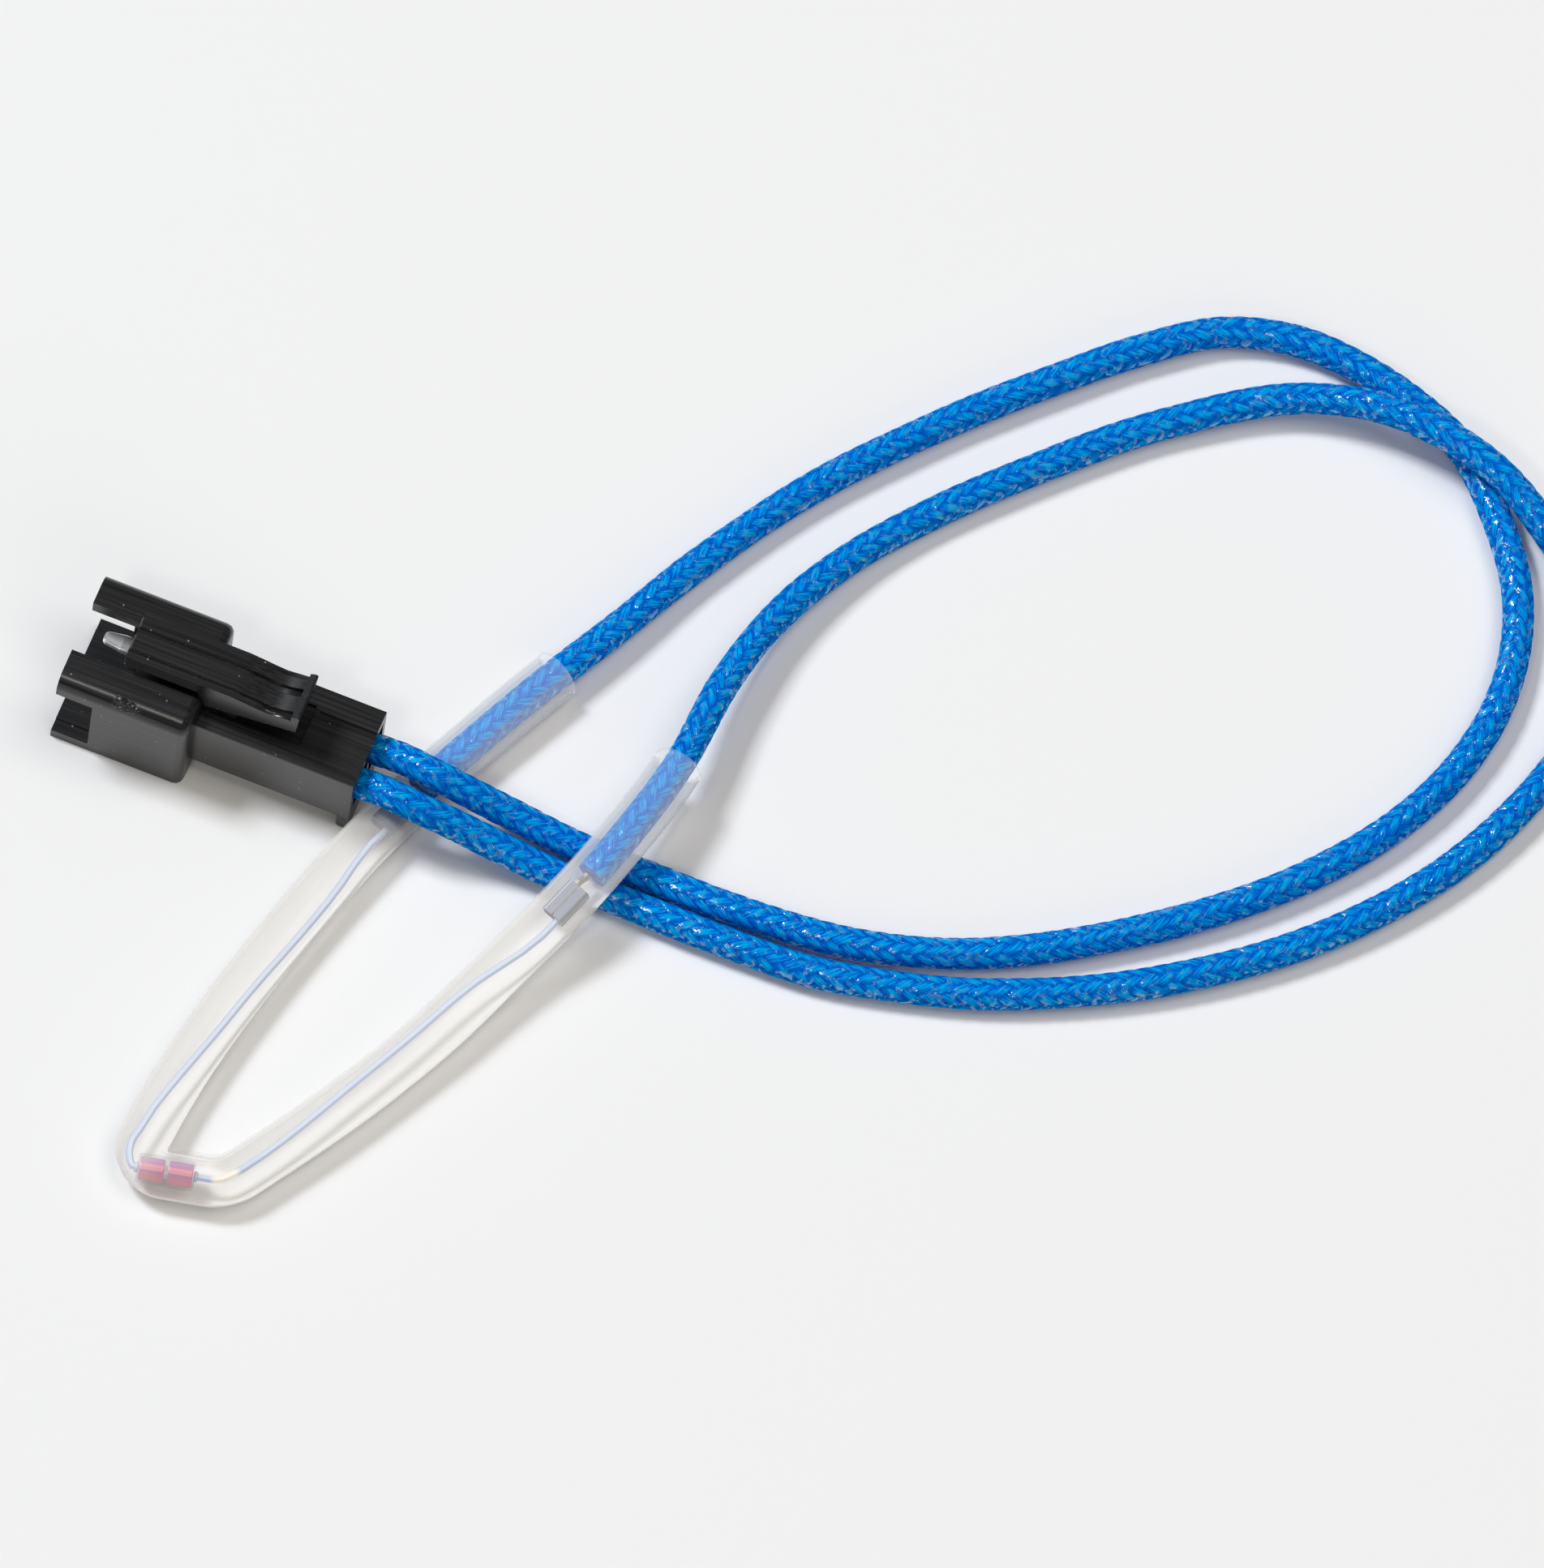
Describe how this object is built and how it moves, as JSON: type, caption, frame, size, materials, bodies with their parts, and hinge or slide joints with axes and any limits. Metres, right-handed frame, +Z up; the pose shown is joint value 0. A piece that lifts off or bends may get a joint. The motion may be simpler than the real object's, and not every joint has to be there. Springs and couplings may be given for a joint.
{
  "type": "leaded glass bead thermistor assembly",
  "caption": "Glass bead thermistor in a folded translucent sleeve, spliced to braided leads that end in a latching wire-to-wire housing.",
  "frame": {"origin": "middle of the flat underside of the connector's shroud, which lies on the table", "axes": "+X from the mating end of the connector to its cable end, +Z up from the table, +Y to the side of the leads' outer loop"},
  "size_m": [0.0853, 0.0819, 0.0093],
  "materials": {
    "housing": "satin black moulded nylon with fine flow lines",
    "tin": "tin plate over a copper alloy strip",
    "copper": "bare tinned copper strands",
    "braid": "varnished herringbone braid, glossy",
    "sleeve": "milky translucent, smooth",
    "glass": "clear drawn tube with fire-rounded ends",
    "slug": "red oxidised copper skin under glass",
    "chip": "sintered ceramic",
    "lead_wire": "bright drawn wire"
  },
  "bodies": {
    "root": {"connector_housing": "housing", "contact_1": "tin", "contact_2": "tin", "contact_strands_1": "copper", "contact_strands_2": "copper", "lead_1": "braid", "lead_2": "braid", "sleeve": "sleeve", "splice_ferrule_1": "tin", "splice_ferrule_2": "tin", "strands_1": "copper", "strands_2": "copper", "bead_lead_1": "lead_wire", "bead_lead_2": "lead_wire", "glass_envelope": "glass", "slug_1": "slug", "slug_2": "slug", "thermistor_chip": "chip"}
  },
  "joints": []
}
